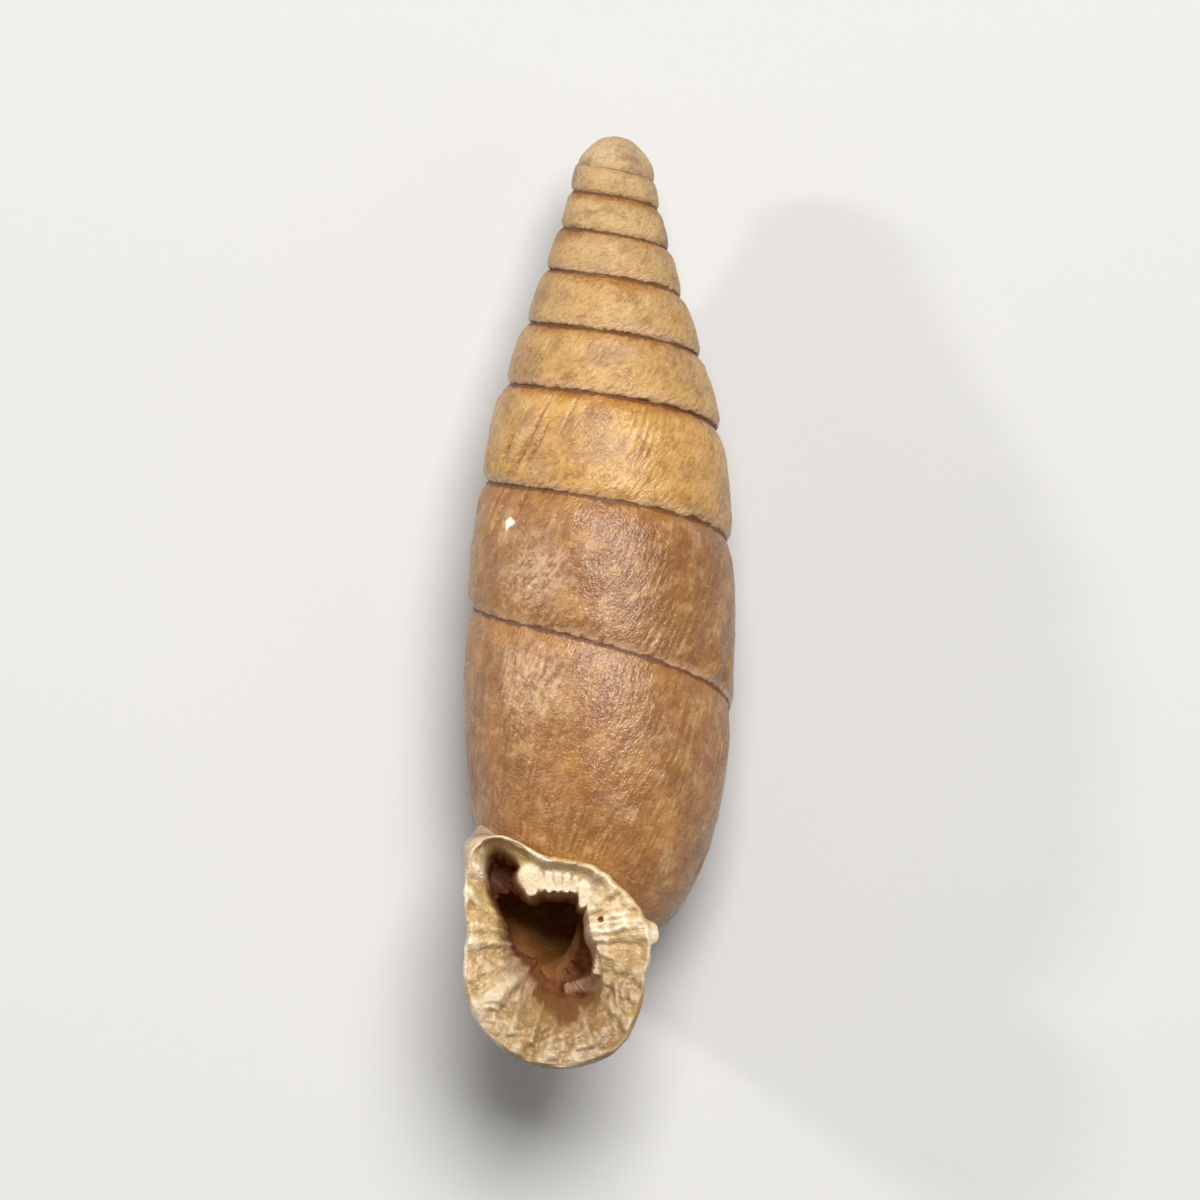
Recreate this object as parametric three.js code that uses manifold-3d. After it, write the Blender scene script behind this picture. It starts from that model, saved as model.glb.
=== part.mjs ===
// A land snail shell of the door snail kind: a slim, left-handed spindle of nearly ten whorls that grew as
// one hollow tube wound round its own axis, ending in a short neck and a flared lip with teeth.
// Millimetres. The shell lies on its back on z = 0, its axis along Y, the tip at +Y and the mouth facing up.
import * as THREE from 'three';
import { LoftGeometry } from 'three/addons/geometries/LoftGeometry.js';
import { mergeVertices } from 'three/addons/utils/BufferGeometryUtils.js';
import Module from 'manifold-3d';

// How far below the tip the seam between the whorls lies, one value for each half turn of growth.
// Whole turns stand on the mouth's side, at -X, and growth passes from there over the front, at +Z.
const seamDepths = [
  0, 0.28, 0.59, 0.98, 1.2, 1.58, 2.0, 2.46, 2.92, 3.45, 4.08,
  4.74, 5.42, 6.3, 7.53, 8.7, 10.25, 12.3, 14.6, 16.5, 17.9,
];
const turns = (seamDepths.length - 1) / 2;

// The girth of the spindle: how far out the bellies of the whorls reach at a depth below the tip.
const girths = [
  [0, 0], [0.11, 0.376], [0.32, 0.61], [0.54, 0.775], [0.75, 0.87], [1.2, 0.94], [1.6, 1.03],
  [2.05, 1.16], [2.5, 1.29], [3, 1.45], [3.5, 1.61], [4, 1.79], [4.5, 1.96], [5, 2.11], [5.5, 2.27],
  [6, 2.41], [6.5, 2.52], [7, 2.6], [8, 2.72], [9, 2.82], [10, 2.88], [11, 2.9], [12, 2.9],
  [13, 2.86], [14, 2.76], [15, 2.57], [16, 2.22], [16.5, 1.98], [17, 1.6], [17.5, 1.02], [17.9, 0],
];

// How deep the seam is cut below the girth, as a share of it, one value for each whole turn.
const seamCuts = [0, 0.04, 0.055, 0.055, 0.05, 0.045, 0.04, 0.034, 0.032, 0.014, 0];
const shoulder = 0.3;      // the share of a whorl's height over which its wall swells out from the seam

// The neck, from the back of the last whorl round to the mouth's side: at each of these turns the
// distance of its middle from the axis, the depth of its middle, its half width and its half height.
const neck = [
  [8.5, 1.5, 14.45, 1.15, 1.95],
  [8.75, 1.45, 15.5, 1.2, 1.95],
  [9, 1.42, 16.3, 1.2, 1.95],
];

// The lip and the opening within it: distance to the right of the axis, and depth below the tip. Both
// lists go round the same way, against the clock from the right.
const lipOutline = [
  [1.25, 17.45], [0.92, 16.68], [0.35, 16.15], [-0.29, 15.86], [-0.95, 15.77], [-1.81, 15.37],
  [-2.58, 15.55], [-2.74, 16.55], [-2.66, 17.45], [-2.7, 18.18], [-2.55, 19.05], [-1.95, 19.86],
  [-0.95, 20.32], [0.18, 20.18], [0.98, 19.38], [1.2, 18.34],
];
const openingOutline = [
  [-0.01, 17.45], [-0.09, 17.09], [-0.22, 16.72], [-0.54, 16.46], [-0.95, 16.4], [-1.6, 16.0],
  [-2.2, 15.95], [-2.2, 16.8], [-2.03, 17.45], [-1.95, 17.86], [-1.8, 18.3], [-1.52, 18.83],
  [-0.95, 19.3], [-0.16, 19.3], [0.23, 18.63], [0.1, 17.89],
];
const mouthMiddle = [-0.95, 17.45];
const lipHeight = 2.55;    // the crest of the lip above the axis, in the middle of the mouth
const lipTilt = 0.09;      // how much it rises for each millimetre to the right
const throatHeight = 1.75; // the opening's narrowest ring

// The teeth, as small mounds: right of the axis, depth, height above the axis, the three half sizes
// across, along and into the mouth, and the turn in the plane of the mouth in degrees.
const teeth = [
  [-1.4, 16.35, 1.75, 0.12, 0.5, 0.62, 12],     // upper plate
  [-0.34, 16.75, 1.6, 0.1, 0.3, 0.5, -20],      // small tooth beside it
  [-1.0, 19.0, 1.95, 0.09, 0.62, 0.3, -18],     // two folds on the lower lip
  [-0.12, 19.2, 1.95, 0.08, 0.45, 0.28, 16],
];

const wall = 0.18;
const coreShare = 0.12;    // the pillar the whorls wind round, as a share of the girth
const cavityStart = 2.5;   // the turn at which the hollow of the whorls begins
const flat = 0.2;          // how deep the back is worn flat where the shell lies
const wornWall = 0.12;     // the wall left inside that flat

// Facets.
const stepsPerTurn = 22;
const wallPoints = 8;
const ringPoints = lipOutline.length;

const wasm = await Module();
wasm.setup();
const mix = THREE.MathUtils.lerp;
const clamp = THREE.MathUtils.clamp;

// The value at a place along a list whose entries are one unit apart.
function along(list, at) {
  const last = list.length - 1;
  const curve = new THREE.SplineCurve(list.map((value) => new THREE.Vector2(value, 0)));
  return curve.getPoint(clamp(at / last, 0, 1)).x;
}

const seamDepth = (turn) => along(seamDepths, turn * 2);

// The girth at a depth, from the table's neighbouring entries.
function girthAt(depth) {
  const next = clamp(girths.findIndex((entry) => entry[0] >= depth), 1, girths.length - 1);
  const [above, below] = [girths[next - 1], girths[next]];
  return mix(above[1], below[1], clamp((depth - above[0]) / (below[0] - above[0]), 0, 1));
}

// A point of the shell, from its turn of growth, its distance from the axis and its depth.
function place(turn, radius, depth) {
  const angle = turn * 2 * Math.PI;
  return new THREE.Vector3(-radius * Math.cos(angle), -depth, radius * Math.sin(angle));
}

// The wall of a whorl from its upper seam to the next, at one turn of growth.
function whorlWall(turn) {
  const points = [];
  const top = seamDepth(Math.max(turn, 0));
  const bottom = seamDepth(Math.min(turn + 1, turns));
  for (let i = 0; i <= wallPoints; i++) {
    const share = i / wallPoints;
    const depth = mix(top, bottom, share);
    const upperCut = along(seamCuts, turn) * Math.max(0, 1 - share / shoulder) ** 2;
    const lowerCut = along(seamCuts, turn + 1) * Math.max(0, 1 - (1 - share) / shoulder) ** 2;
    points.push(place(turn, girthAt(depth) * (1 - upperCut - lowerCut), depth));
  }
  return points;
}

// The middle and half sizes of the tube at one turn: in the whorls it fills the space between the pillar,
// the seams and the girth; in the neck it follows the neck's own sizes.
function tube(turn) {
  if (turn >= neck[0][0]) {
    const at = (turn - neck[0][0]) / (neck[1][0] - neck[0][0]);
    return neck[0].slice(1).map((_, i) => along(neck.map((entry) => entry[i + 1]), at));
  }
  const [top, bottom] = [seamDepth(turn), seamDepth(turn + 1)];
  const depth = (top + bottom) / 2;
  const girth = girthAt(depth);
  return [girth * (1 + coreShare) / 2, depth, girth * (1 - coreShare) / 2, (bottom - top) / 2];
}

// An oval ring round the tube, squarer than an ellipse, at a distance inside its surface.
function tubeRing(turn, inset) {
  const [middle, depth, halfWidth, halfHeight] = tube(turn);
  const points = [];
  for (let i = 0; i < ringPoints; i++) {
    const angle = (i / ringPoints) * 2 * Math.PI;
    const across = Math.sign(Math.cos(angle)) * Math.abs(Math.cos(angle)) ** 0.85;
    const up = Math.sign(Math.sin(angle)) * Math.abs(Math.sin(angle)) ** 0.85;
    points.push(place(turn, middle - across * (halfWidth - inset), depth - up * (halfHeight - inset)));
  }
  return points;
}

// A ring of an outline of the mouth, scaled about the mouth's middle, at a height above the axis.
function mouthRing(outline, scale, height) {
  return outline.map(([right, depth]) => {
    const x = mix(mouthMiddle[0], right, scale);
    return new THREE.Vector3(x, -mix(mouthMiddle[1], depth, scale), height + lipTilt * x);
  });
}

const blend = (from, to, share) => from.map((point, i) => point.clone().lerp(to[i], share));

function solid(geometry) {
  geometry.deleteAttribute('normal');
  geometry.deleteAttribute('uv');
  const welded = mergeVertices(new THREE.BufferGeometry().copy(geometry), 1e-5);
  const corners = [];
  for (let i = 0; i < welded.index.count; i += 3) {
    const [a, b, c] = [0, 1, 2].map((k) => welded.index.getX(i + k));
    if (a !== b && b !== c && c !== a) corners.push(a, b, c);
  }
  return new wasm.Manifold(new wasm.Mesh({
    numProp: 3,
    vertProperties: new Float32Array(welded.attributes.position.array),
    triVerts: new Uint32Array(corners),
  }));
}

// The spindle: one sheet of wall wound from the tip to the middle of the base, each turn joined to the
// one before along the seam. The steps are set so that one facet of every whorl faces straight back.
const walls = [];
for (let step = 0; step <= (turns + 1) * stepsPerTurn; step++) {
  walls.push(whorlWall(step / stepsPerTurn - 1));
}
const spindle = solid(new LoftGeometry(walls, { closed: false }));

// The neck and lip.
const neckRings = [];
for (let turn = neck[0][0] + 0.05; turn < 9; turn += 0.05) neckRings.push(tubeRing(turn, 0));
const bend = tubeRing(9, 0);
const waist = mouthRing(lipOutline, 0.84, throatHeight);
neckRings.push(bend, blend(bend, waist, 0.5), waist);
neckRings.push(mouthRing(lipOutline, 0.9, lipHeight - 0.42));
neckRings.push(mouthRing(lipOutline, 1, lipHeight - 0.22));
neckRings.push(mouthRing(lipOutline, 1, lipHeight - 0.12));
neckRings.push(mouthRing(lipOutline, 0.95, lipHeight));
const neckAndLip = solid(new LoftGeometry(neckRings, { capStart: true, capEnd: true }));

// The hollow, from the upper whorls down through the neck and out at the mouth.
const hollowRings = [];
for (let step = cavityStart * stepsPerTurn; step < 9 * stepsPerTurn; step++) {
  hollowRings.push(tubeRing(step / stepsPerTurn, wall));
}
const hollowBend = tubeRing(9, wall);
const throat = mouthRing(openingOutline, 0.94, throatHeight);
hollowRings.push(hollowBend, blend(hollowBend, throat, 0.5), throat);
hollowRings.push(mouthRing(openingOutline, 1, throatHeight + 0.35));
hollowRings.push(blend(
  mouthRing(openingOutline, 1, lipHeight + 0.02),
  mouthRing(lipOutline, 1, lipHeight + 0.02),
  0.4,
));
const hollow = solid(new LoftGeometry(hollowRings, { capStart: true, capEnd: true }));

// The back is worn flat where the widest whorls lie on the ground, and the hollow ends short of the flat.
const grown = spindle.add(neckAndLip);
const groundHeight = grown.boundingBox().min[2] + flat;
const ground = new THREE.BoxGeometry(10, 40, 2);
ground.translate(0, -10, groundHeight - 1);
const hollowEnd = ground.clone().translate(0, 0, wornWall);

let shell = grown.subtract(hollow.subtract(solid(hollowEnd))).subtract(solid(ground));
for (const [right, depth, height, across, long, deep, degrees] of teeth) {
  const tooth = new THREE.SphereGeometry(1, 10, 8);
  tooth.scale(across, long, deep);
  tooth.rotateZ(THREE.MathUtils.degToRad(degrees));
  tooth.translate(right, -depth, height + lipTilt * right);
  shell = shell.add(solid(tooth));
}

const mesh = shell.getMesh();
let surface = new THREE.BufferGeometry();
surface.setAttribute('position', new THREE.BufferAttribute(mesh.vertProperties, 3));
surface.setIndex(new THREE.BufferAttribute(mesh.triVerts, 1));
surface.computeBoundingBox();
const middle = surface.boundingBox.getCenter(new THREE.Vector3());
surface.translate(-middle.x, -middle.y, -surface.boundingBox.min.z);
surface.computeVertexNormals();

const part = new THREE.Mesh(surface, new THREE.MeshStandardMaterial({
  color: '#b98f66',
  roughness: 0.45,
  metalness: 0,
}));
part.name = 'shell';

const group = new THREE.Group();
group.name = 'land snail shell';
group.add(part);
export default group;
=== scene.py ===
import math

import bpy
import numpy as np
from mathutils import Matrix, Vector


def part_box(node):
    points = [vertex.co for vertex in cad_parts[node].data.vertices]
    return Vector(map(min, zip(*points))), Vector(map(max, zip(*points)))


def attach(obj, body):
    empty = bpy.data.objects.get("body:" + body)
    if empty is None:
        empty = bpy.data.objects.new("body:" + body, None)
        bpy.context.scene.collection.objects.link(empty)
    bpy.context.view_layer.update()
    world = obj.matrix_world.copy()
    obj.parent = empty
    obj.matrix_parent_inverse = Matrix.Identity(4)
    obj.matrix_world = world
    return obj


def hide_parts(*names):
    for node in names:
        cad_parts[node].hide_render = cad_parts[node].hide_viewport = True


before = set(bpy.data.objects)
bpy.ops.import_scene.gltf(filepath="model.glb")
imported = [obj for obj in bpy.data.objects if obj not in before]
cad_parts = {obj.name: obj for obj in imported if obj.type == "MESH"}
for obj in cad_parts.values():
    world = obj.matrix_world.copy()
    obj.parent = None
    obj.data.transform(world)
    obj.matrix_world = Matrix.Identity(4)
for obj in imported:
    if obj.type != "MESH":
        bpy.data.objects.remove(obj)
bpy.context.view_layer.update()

# ---------------------------------------------------------------------------------------------
# The spire and the whorls. One sheet of limy wall about a fifth of a millimetre thick, laid down at its
# rim by the snail as it turned, left-handed, nearly ten times; each turn is joined to the one before
# along a seam. Fine slanting growth ribs run over it, worn away near the tip.

MM = 0.001
TURN = 2 * math.pi
shell_low, shell_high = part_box("shell")
AXIS_HEIGHT = 2.67         # mm above the surface the shell lies on
AXIS_X = (shell_low[0] + shell_high[0]) / 2
TIP_Y = shell_high[1]
AXIS_Z = shell_low[2] + AXIS_HEIGHT * MM

# The depth of the seam below the tip in mm, one value for each half turn; whole turns stand at -X.
SEAM_DEPTHS = [0, 0.28, 0.59, 0.98, 1.2, 1.58, 2.0, 2.46, 2.92, 3.45, 4.08,
               4.74, 5.42, 6.3, 7.53, 8.7, 10.25, 12.3, 14.6, 16.5, 17.9]
LAST_TURN = 10
# The girth: depth below the tip and radius, in mm.
GIRTHS = [(0, 0), (0.05, 0.24), (0.11, 0.376), (0.32, 0.61), (0.54, 0.775), (0.75, 0.86), (1.2, 0.94),
          (1.6, 1.03), (2.05, 1.16), (2.5, 1.29), (3, 1.45), (3.5, 1.61), (4, 1.79), (4.5, 1.96),
          (5, 2.11), (5.5, 2.27), (6, 2.41), (6.5, 2.52), (7, 2.6), (8, 2.72), (9, 2.82), (10, 2.88),
          (11, 2.9), (12, 2.9), (13, 2.86), (14, 2.76), (15, 2.57), (16, 2.22), (16.5, 1.98),
          (17, 1.6), (17.5, 1.02), (17.8, 0.45), (17.9, 0)]
# One value for each whole turn: how deep the seam is cut and how much the whorl bulges, as shares of the
# girth, how strong the ribs are, and the share of the whorl over which its lower edge rounds in.
SEAM_CUTS = [0, 0.04, 0.07, 0.07, 0.065, 0.06, 0.055, 0.05, 0.045, 0, 0]
BULGES = [0, 0.01, 0.03, 0.03, 0.03, 0.028, 0.026, 0.018, 0.01, 0.004, 0]
RIB_SHARES = [0, 0, 0.15, 0.5, 0.9, 1.3, 1.4, 1.1, 1.1, 1.2, 0.7]
LOWER_ROUNDS = [0.2, 0.2, 0.2, 0.2, 0.18, 0.16, 0.14, 0.12, 0.1, 0.1, 0.1]

STEPS_PER_TURN = 420
SLANT_STEPS = 27           # how far a rib leans back from its upper to its lower end
RIB_BOW = 0.006            # turns
RIB_SPACING = 0.17         # mm
RIB_HEIGHT = 0.015         # mm
WAVE_HEIGHT = 0.03         # mm, the slow unevenness of the wall
LUMP_HEIGHT = 0.022        # mm
SMALL_LUMP_HEIGHT = 0.012  # mm
BEAD_HEIGHT = 0.02         # mm, along the lower edge of each whorl
ACROSS = [0, 0.025, 0.07, 0.15, 0.27, 0.41, 0.56, 0.71, 0.84, 0.93, 0.975, 1]


def hermite(values, at):
    """A smooth value at any place along a list whose entries are one apart."""
    v = np.asarray(values, float)
    at = np.clip(at, 0, len(v) - 1)
    i = np.minimum(at.astype(int), len(v) - 2)
    f = at - i
    before, after = v[np.maximum(i - 1, 0)], v[np.minimum(i + 2, len(v) - 1)]
    start, end = (v[i + 1] - before) / 2, (after - v[i]) / 2
    return (v[i] * (1 + 2 * f) * (1 - f) ** 2 + start * f * (1 - f) ** 2
            + v[i + 1] * f * f * (3 - 2 * f) + end * f * f * (f - 1))


def ease(low, high, value):
    """From 0 at low to 1 at high, smoothly."""
    f = np.clip((value - low) / (high - low), 0, 1)
    return f * f * (3 - 2 * f)


def grain(seed, x, y):
    """Smooth random values from 0 to 1 over a plane, about one bump for each unit."""
    table = np.random.default_rng(seed).random((256, 256))
    ix, iy = np.floor(x).astype(int), np.floor(y).astype(int)
    fx, fy = ease(0, 1, x - ix), ease(0, 1, y - iy)
    corner = [[table[(ix + i) % 256, (iy + j) % 256] for j in (0, 1)] for i in (0, 1)]
    near = corner[0][0] * (1 - fy) + corner[0][1] * fy
    far = corner[1][0] * (1 - fy) + corner[1][1] * fy
    return near * (1 - fx) + far * fx


def seam_depth(turn):
    return hermite(SEAM_DEPTHS, np.maximum(turn, 0) * 2)


fine = np.linspace(0, len(GIRTHS) - 1, 2000)
girth_depths = hermite([g[0] for g in GIRTHS], fine)
girth_radii = hermite([g[1] for g in GIRTHS], fine)


def girth(depth):
    return np.interp(depth, girth_depths, girth_radii)


def place(turn, radius, depth):
    """Points of the shell in metres, from turn of growth, distance from the axis and depth in mm."""
    angle = turn * TURN
    return np.stack([AXIS_X - radius * np.cos(angle) * MM, TIP_Y - depth * MM,
                     AXIS_Z + radius * np.sin(angle) * MM], axis=-1)


def rib_wave(along, across, seed):
    """Uneven wavy ribs: 0 in the grooves, 1 on the crests, many of them fading out part of the way."""
    shifted = along + 2.0 * grain(seed, along * 0.23, across * 1.4)
    shifted = shifted + 1.2 * grain(seed + 1, along * 0.5, across * 5)
    crest = 0.5 + 0.5 * np.cos(shifted * TURN)
    whole = ease(0.3, 0.75, grain(seed + 2, along * 0.4, across * 6))
    return crest ** 1.2 * (0.12 + 0.88 * whole)


WELD_DISTANCE = 8e-6       # mm


def sheet_from_grid(name, points, maps):
    """A closed mesh from a grid primitive, placed and welded in mm, with UV maps along the growth."""
    columns, rows = points.shape[:2]
    bpy.ops.object.select_all(action="DESELECT")
    bpy.ops.mesh.primitive_grid_add(x_subdivisions=columns - 1, y_subdivisions=rows - 1, size=1)
    piece = bpy.context.object
    piece.name = piece.data.name = name
    mesh = piece.data
    flat = np.empty(len(mesh.vertices) * 3)
    mesh.vertices.foreach_get("co", flat)
    flat = flat.reshape(-1, 3)
    column = np.rint((flat[:, 0] + 0.5) * (columns - 1)).astype(int)
    row = np.rint((flat[:, 1] + 0.5) * (rows - 1)).astype(int)
    mesh.vertices.foreach_set("co", (points[column, row] / MM).ravel())
    corners = np.empty(len(mesh.loops), int)
    mesh.loops.foreach_get("vertex_index", corners)
    mesh.uv_layers.remove(mesh.uv_layers[0])
    for layer, values in maps.items():
        mesh.uv_layers.new(name=layer)
        chosen = values[column, row][corners]
        mesh.uv_layers[layer].data.foreach_set("uv", chosen.astype(np.float32).ravel())
    mesh.update()
    bpy.ops.object.mode_set(mode="EDIT")
    bpy.ops.mesh.select_all(action="SELECT")
    bpy.ops.mesh.remove_doubles(threshold=WELD_DISTANCE)
    bpy.ops.mesh.normals_make_consistent(inside=False)
    bpy.ops.mesh.select_all(action="DESELECT")
    bpy.ops.object.mode_set(mode="OBJECT")
    piece.scale = (MM, MM, MM)
    bpy.ops.object.transform_apply(location=False, rotation=False, scale=True)
    return piece


steps = (LAST_TURN + 1) * STEPS_PER_TURN
step, across = np.meshgrid(np.arange(steps + 1.0), np.array(ACROSS), indexing="ij")
laid = step / STEPS_PER_TURN - 1                       # the turn at which each rib was begun
slant = SLANT_STEPS / STEPS_PER_TURN
turn = laid - across * slant
bow = RIB_BOW * np.sin(across * math.pi)               # ribs are bowed a little
turn_bowed = turn + bow * ease(1, 3, turn) * (1 - ease(8.8, 9.8, turn))
# Towards the tip and the middle of the base the slant runs out, so the sheet closes in a point.
from_tip, to_base = ease(slant - 1, 0.5, laid), 1 - ease(9, LAST_TURN, laid)
top = seam_depth(turn_bowed + (1 - to_base) * across * slant)
bottom = seam_depth(np.minimum(turn_bowed + 1 - (1 - from_tip) * (1 - across) * slant, LAST_TURN))
depth = top + (bottom - top) * across

cut_above, cut_below = hermite(SEAM_CUTS, turn), hermite(SEAM_CUTS, turn + 1)
rounded = hermite(LOWER_ROUNDS, turn)
bulge = hermite(BULGES, turn) * (1 - across) + hermite(BULGES, turn + 1) * across
shape = (1 + bulge * (np.sin(math.pi * across ** 0.75) - 0.6)
         - cut_above * np.clip(1 - across / 0.22, 0, 1) ** 1.7
         - cut_below * np.clip(1 - (1 - across) / rounded, 0, 1) ** 2)
# The ribs run on without a break from the last whorl over the base.
base = (laid >= LAST_TURN - 1).astype(float)
last_whorl = (laid > LAST_TURN - 2 + slant - 1e-6).astype(float)
along = np.cumsum(girth(seam_depth(laid[:, 0] + 0.5)) * TURN / STEPS_PER_TURN)
begun = laid - base * (1 - slant)
along = np.interp(begun, laid[:, 0], along)
down = across + base
joined = ease(LAST_TURN - 2 + slant, LAST_TURN - 1.9 + slant, begun)
edge_fade = np.maximum(ease(0, 0.05, across), base * joined)
edge_fade = edge_fade * np.maximum(ease(0, 0.03, 1 - across), last_whorl * joined)
ribs = rib_wave(along / RIB_SPACING, down, 11) * edge_fade
ribs = ribs * hermite(RIB_SHARES, np.maximum(turn - base, 0))
patchy = 0.5 + grain(5, along * 0.8, down * 2.5)
relief = RIB_HEIGHT * (ribs * patchy - 0.3 * edge_fade)
# Slow unevenness of the wall, fine lumps, and small scars where growth stopped for a while.
grown_up = ease(1.5, 4, turn) * edge_fade
uneven = WAVE_HEIGHT * (grain(21, along * 0.35, down * 1.4) - 0.5) * grown_up
lumps = LUMP_HEIGHT * (grain(22, along * 2.3, down * 6) - 0.5)
lumps = lumps + SMALL_LUMP_HEIGHT * (grain(24, along * 5, down * 14) - 0.5)
lumps = lumps * ease(0.3, 2, turn) * edge_fade
seam_end = ease(LAST_TURN - 2.15, LAST_TURN - 2 + slant, laid)     # here the seam runs out at the neck
hem = ease(0.86, 0.95, across) * ease(0, 0.03, 1 - across) * (1 - seam_end)
beaded = BEAD_HEIGHT * grain(23, along * 3.5, down * 0) * hem * ease(2, 4, turn)
# Each scar: its turn, its width in turns, its height in mm, and its start and end across the whorl.
SCARS = [(7.105, 0.005, -0.12, 0.0, 0.36), (7.14, 0.004, -0.09, 0.02, 0.3),
         (7.125, 0.006, 0.07, 0.03, 0.32), (7.09, 0.004, -0.06, 0.0, 0.3),
         (6.168, 0.0035, -0.07, 0.1, 0.97), (6.152, 0.004, 0.04, 0.3, 0.97),
         (6.186, 0.0035, -0.05, 0.35, 0.9), (6.135, 0.004, -0.06, 0.5, 0.97),
         (6.21, 0.003, -0.035, 0.0, 0.5), (7.469, 0.013, 0.2, 0.78, 1.0),
         (7.5, 0.006, -0.09, 0.75, 1.0), (8.495, 0.009, -0.2, 0.0, 0.2)]
cracks = 0 * across
for at, wide, high, start, end in SCARS:
    reach = ease(start, start + 0.06, across) * (1 - ease(end - 0.1, end, across))
    print_left = np.exp(-((laid - at) / wide) ** 2) * reach
    relief = relief + high * print_left
    cracks = cracks + (high < 0) * print_left
# A chip shows the bare white lime: its turn, its width in turns, and its place across the whorl.
CHIP_TURN, CHIP_WIDTH, CHIP_ACROSS = 7.137, 0.014, 0.27
chip = np.exp(-((laid - CHIP_TURN) / CHIP_WIDTH) ** 2)
chip = chip * (1 - ease(0.02, 0.1, np.abs(across - CHIP_ACROSS)))
between_ends = ease(0.1, 0.6, depth) * (1 - ease(16.9, 17.7, depth))
radius = girth(depth) * shape + (relief + uneven + lumps + beaded) * between_ends
radius = np.where((depth <= 1e-6) | (depth >= SEAM_DEPTHS[-1] - 1e-6), 0, radius)

# Where the lip lies on the front of the whorls: its middle in mm to the right of the axis and below
# the tip, and its outer edge in mm from that middle, every ten degrees from the right.
MOUTH = (-0.95, 17.45)
LIP_RADII = [2.199, 2.149, 2.042, 1.944, 1.87, 1.811, 1.76, 1.706, 1.668, 1.68, 1.817, 2.13,
             2.42, 2.45, 2.3, 2.08, 1.888, 1.758, 1.72, 1.755, 1.857, 2.019, 2.172, 2.342,
             2.491, 2.647, 2.77, 2.868, 2.92, 2.951, 2.931, 2.829, 2.622, 2.427, 2.299, 2.251]


def round_table(values, angle):
    """A smooth value at any angle from a table that goes once round."""
    wrapped = list(values[-2:]) + list(values) + list(values[:3])
    return hermite(wrapped, (angle % TURN) / TURN * len(values) + 2)


def lip_radius(angle):
    """The lip's outer edge, a little uneven."""
    across, up = np.cos(angle), np.sin(angle)
    bumps = 0.07 * (grain(57, 20 + 5 * across, 20 + 5 * up) - 0.5)
    bumps = bumps + 0.04 * (grain(58, 20 + 14 * across, 20 + 14 * up) - 0.5)
    return round_table(LIP_RADII, angle) + bumps


def lip_stain(turn, radius, depth):
    """How much dirt has gathered round the lip: 1 at its edge, 0 from a third of a millimetre on."""
    right, up = -radius * np.cos(turn * TURN) - MOUTH[0], MOUTH[1] - depth
    away = np.hypot(right, up) - round_table(LIP_RADII, np.arctan2(up, right))
    return (1 - ease(-0.05, 0.32, away)) * ease(0.1, 0.4, np.sin(turn * TURN)) * ease(14, 14.5, depth)


# The maps. growth: the turn, and the share down the whorl. marks: the height of the ribs, below 0 in a
# crack and over 1 on a chip, and the kind of surface, below 0 where stained by the lip, 0 outside, from 1
# on the lip up to 2 in the throat, the values between carrying the painted shade that deepens down it.
# edges: the mm below one seam and above the next.
whorl = np.maximum(bottom - top, 0.05)
above_seam = np.where(last_whorl > 0, 9, whorl * (1 - across) + seam_end)
below_seam = np.where(base > 0, 9, whorl * across + ease(LAST_TURN - 1.15, LAST_TURN - 1, laid))
rib_marks = np.clip(ribs, 0, 1) * (1 - cracks) - cracks + 1.7 * chip
maps = {"growth": np.stack([begun, down], axis=-1),
        "marks": np.stack([rib_marks, -lip_stain(turn_bowed, radius, depth)], axis=-1),
        "edges": np.stack([below_seam, above_seam], axis=-1)}
shell = sheet_from_grid("shell_wall", place(turn_bowed, radius, depth), maps)

# ---------------------------------------------------------------------------------------------
# The neck and the mouth. The last half turn draws in to a narrow neck, comes round from the back and
# opens forward into a thick flared lip of ivory enamel, laid down last of all. It is pleated inside,
# and has an upper plate and smaller teeth.

AROUND = 360
LIP_HEIGHT = 2.52          # mm above the axis
LIP_TILT = 0.09            # mm of rise for each mm to the right
# The opening: mm from the mouth's middle, at the same places as the lip's outer edge.
OPENING_RADII = [0.95, 0.92, 0.94, 0.98, 1.06, 1.14, 1.16, 1.1, 1.04, 1.02, 1.06, 1.45,
                 2.12, 2.13, 1.78, 1.46, 1.24, 1.12, 1.08, 1.06, 1.07, 1.1, 1.16, 1.25,
                 1.37, 1.53, 1.71, 1.88, 2.0, 2.05, 1.96, 1.8, 1.6, 1.38, 1.2, 1.05]
# How far the wall slopes in below the opening, in mm, at the same places.
SLOPES = [0.3, 0.28, 0.25, 0.22, 0.2, 0.2, 0.2, 0.2, 0.2, 0.2, 0.2, 0.22,
          0.24, 0.24, 0.28, 0.35, 0.42, 0.46, 0.48, 0.5, 0.54, 0.6, 0.7, 0.84,
          1.0, 1.12, 1.2, 1.25, 1.2, 1.1, 0.9, 0.72, 0.55, 0.45, 0.38, 0.33]
# The neck at three turns: distance of its middle from the axis, its depth, half width, half height.
NECK_TURNS = [8.5, 8.75, 9.0]
NECK_SIZES = [(1.5, 14.45, 1.15, 1.95), (1.45, 15.5, 1.22, 2.0), (1.34, 16.4, 1.34, 2.15)]
THROAT_FLOOR = 0.15        # mm above the axis
SQUARENESS = 0.85          # 1 for an oval tube, less for a squarer one


def mouth_points(angle, distance, height):
    """Points in metres from angle and distance about the mouth's middle, and height above the axis."""
    x = MOUTH[0] + distance * np.cos(angle)
    y = MOUTH[1] - distance * np.sin(angle)
    return np.stack([AXIS_X + x * MM, TIP_Y - y * MM, AXIS_Z + (height + LIP_TILT * x) * MM], axis=-1)


def squared(share):
    return np.sign(share) * np.abs(share) ** SQUARENESS


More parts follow.
